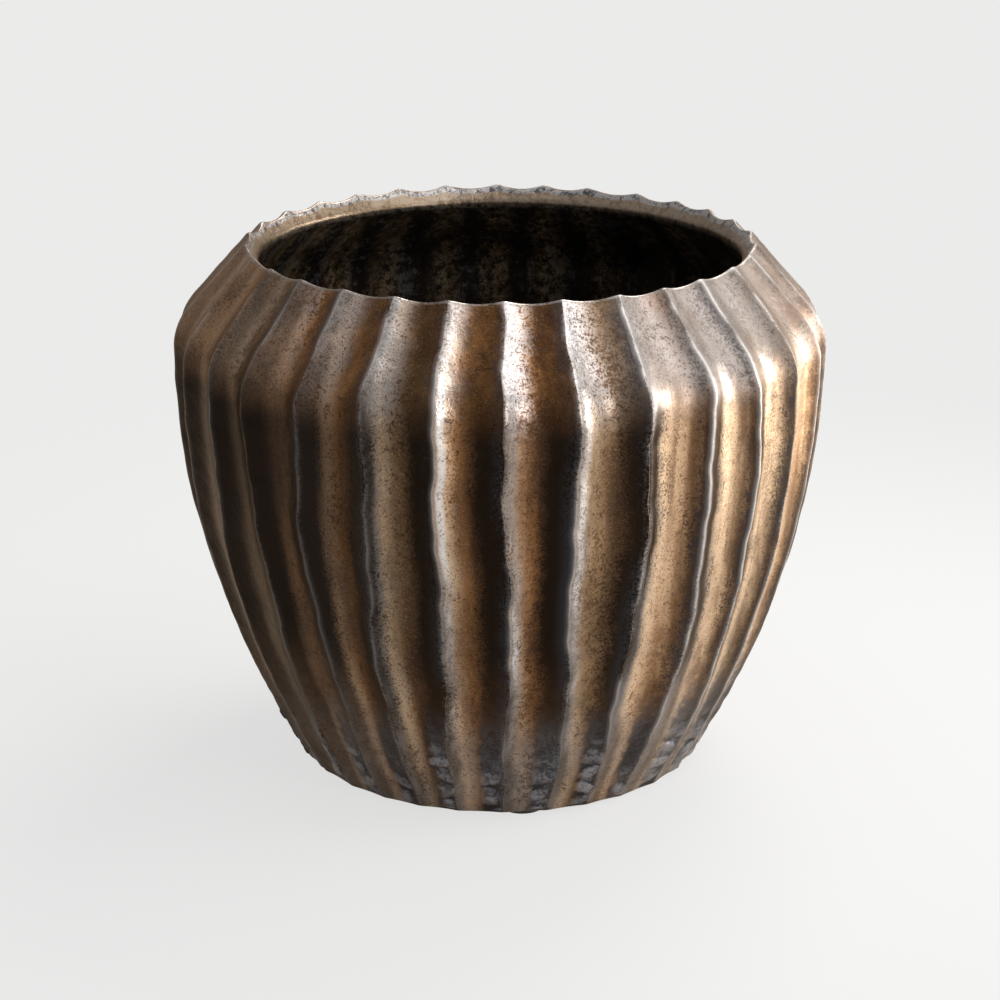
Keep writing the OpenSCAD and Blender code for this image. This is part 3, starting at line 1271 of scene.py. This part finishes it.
@dataclass
class Studio:
    """Floor, world, lamps and camera."""

    floor_r: float = 9.0
    floor_sides: int = 96
    eye: tuple[float, float, float] = (0.003, -0.8296, 0.3526)
    aim: tuple[float, float, float] = (0.0, 0.0, 0.077)
    lens: float = 104.0
    clip: Span = (0.01, 50)
    world_colour: Colour = (0.93, 0.95, 1.0)
    world_strength: float = 0.2
    world_seen: float = 0.65
    # Name, azimuth, elevation, distance, width, height, watts and colour.
    softboxes: tuple[Softbox, ...] = (
        Softbox("window", 100, 4, 0.8, 0.50, 0.40, 12.5, (1.0, 0.98, 0.95)),
        Softbox("rear_window", 150, 48, 0.9, 0.45, 0.45, 7.5, (1.0, 0.99, 0.97)),
        Softbox("narrow_window", 42, 14, 0.9, 0.16, 0.5, 3.2, (1.0, 0.98, 0.96)),
        Softbox("high_window", 58, 54, 1.0, 0.6, 0.45, 3.3, (0.97, 0.98, 1.0)),
        Softbox("overhead", 0, 88, 1.5, 1.3, 1.3, 5, (0.97, 0.98, 1.0)),
        Softbox("left_fill", -95, 28, 1.6, 0.9, 0.9, 1, (0.86, 0.92, 1.0)),
    )

    def build(self) -> None:
        """Makes the whole studio."""
        self.floor()
        self.world()
        self.camera()
        for softbox in self.softboxes:
            softbox.build()
        bpy.context.scene.view_settings.view_transform = "Standard"

    def floor(self) -> None:
        """A wide round floor, which also makes the background."""
        turn = [2 * math.pi * k / self.floor_sides for k in range(self.floor_sides)]
        corners = [(self.floor_r * math.cos(a), self.floor_r * math.sin(a), 0.0) for a in turn]
        mesh = bpy.data.meshes.new("studio_floor")
        mesh.from_pydata(corners, [], [tuple(range(self.floor_sides))])
        mesh.materials.append(PaleFloor().material())
        made = new_object("studio_floor", mesh)

    def world(self) -> None:
        """An even sky: pale where it is seen or mirrored, and dim as a light."""
        world = bpy.data.worlds.new("studio")
        world.use_nodes = True
        r = Recipe(world.node_tree)
        path = r.add("ShaderNodeLightPath").outputs
        shown = Number(r, path["Is Camera Ray"]).at_least(Number(r, path["Is Glossy Ray"]))
        shown = shown.at_least(Number(r, path["Is Transmission Ray"]))
        strength = self.world_strength + shown * (self.world_seen - self.world_strength)
        sky = r.add("ShaderNodeBackground", {}, {"Color": self.world_colour, "Strength": strength})
        r.add("ShaderNodeOutputWorld", {}, {"Surface": sky.outputs[0]})
        bpy.context.scene.world = world

    def camera(self) -> None:
        """The camera, a little above the pot and straight in front."""
        lens = bpy.data.cameras.new("camera")
        lens.lens = self.lens
        lens.clip_start, lens.clip_end = self.clip
        made = new_object("camera", lens)
        made.location = self.eye
        view = Vector(self.aim) - Vector(self.eye)
        made.rotation_euler = view.to_track_quat("-Z", "Y").to_euler()
        bpy.context.scene.camera = made


def main() -> None:
    """Builds the studio and every piece in order."""
    logging.basicConfig(level=logging.INFO, format="%(name)s: %(message)s")
    Studio().build()
    PotBody().build()
    CarriedPiece("felt_pads", Body.PLANTER, BlackFelt(), edge=0.3 * MM).build()
    CarriedPiece("grow_pot", Body.INNER_POT, NurseryPlastic(), edge=0.25 * MM).build()


if __name__ == "__main__":
    main()
